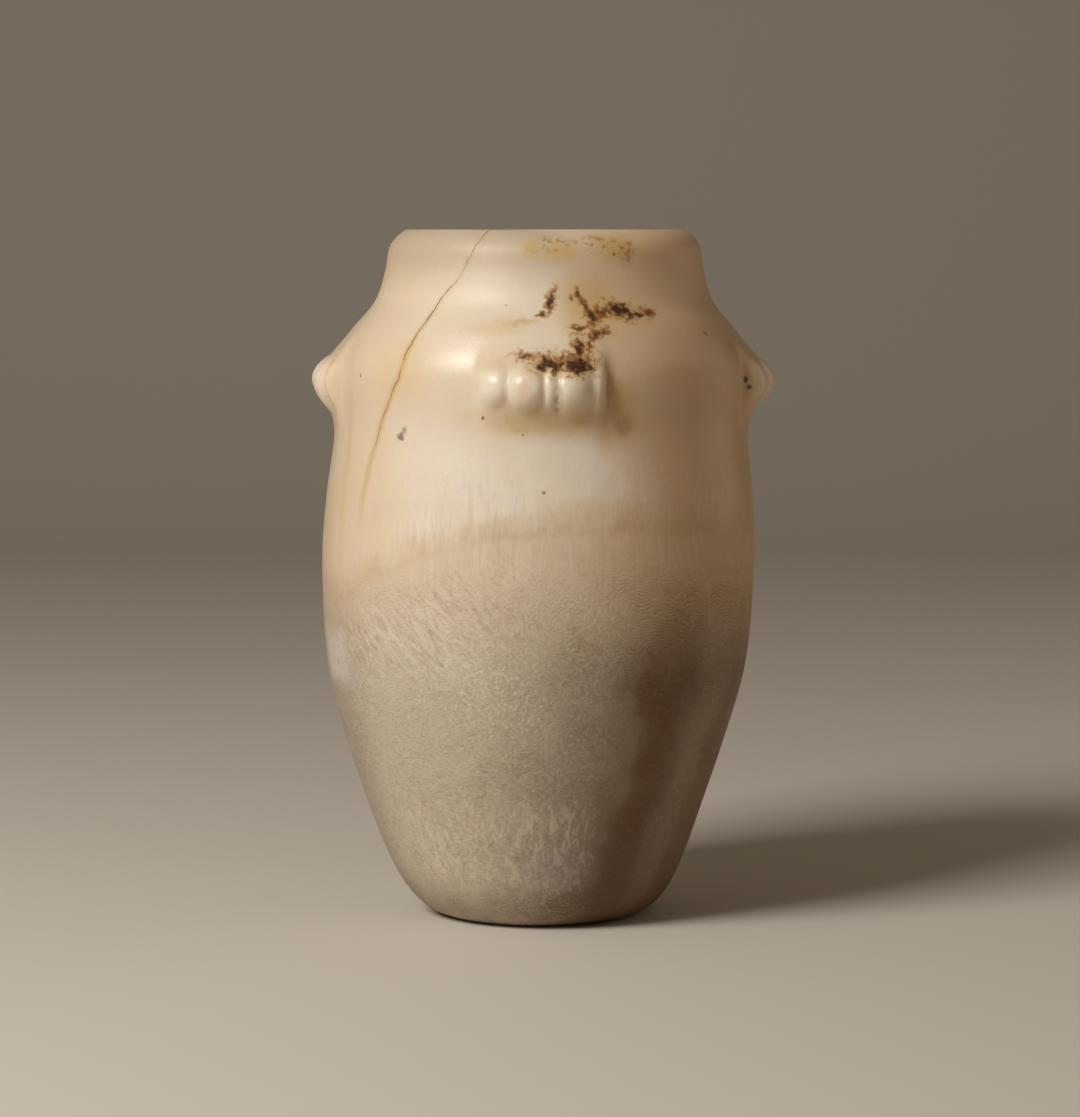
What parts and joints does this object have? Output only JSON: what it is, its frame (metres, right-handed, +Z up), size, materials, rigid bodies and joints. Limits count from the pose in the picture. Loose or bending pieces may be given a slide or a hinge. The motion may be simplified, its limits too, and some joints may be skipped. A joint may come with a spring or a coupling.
{
  "type": "canopic jar",
  "caption": "Lidless ovoid stone jar with a short neck, flat rim and ribbed lugs at the shoulder, carved hollow from one block to hold embalmed remains.",
  "frame": {"origin": "middle of the jar under its four lugs, on the surface that the foot stands on", "axes": "+Z up through the mouth; -Y towards the front lug; +X towards the lug on the viewer's right"},
  "size_m": [0.1688, 0.1688, 0.25],
  "materials": {
    "alabaster": "satin"
  },
  "bodies": {
    "root": {"jar": "alabaster"}
  },
  "joints": []
}
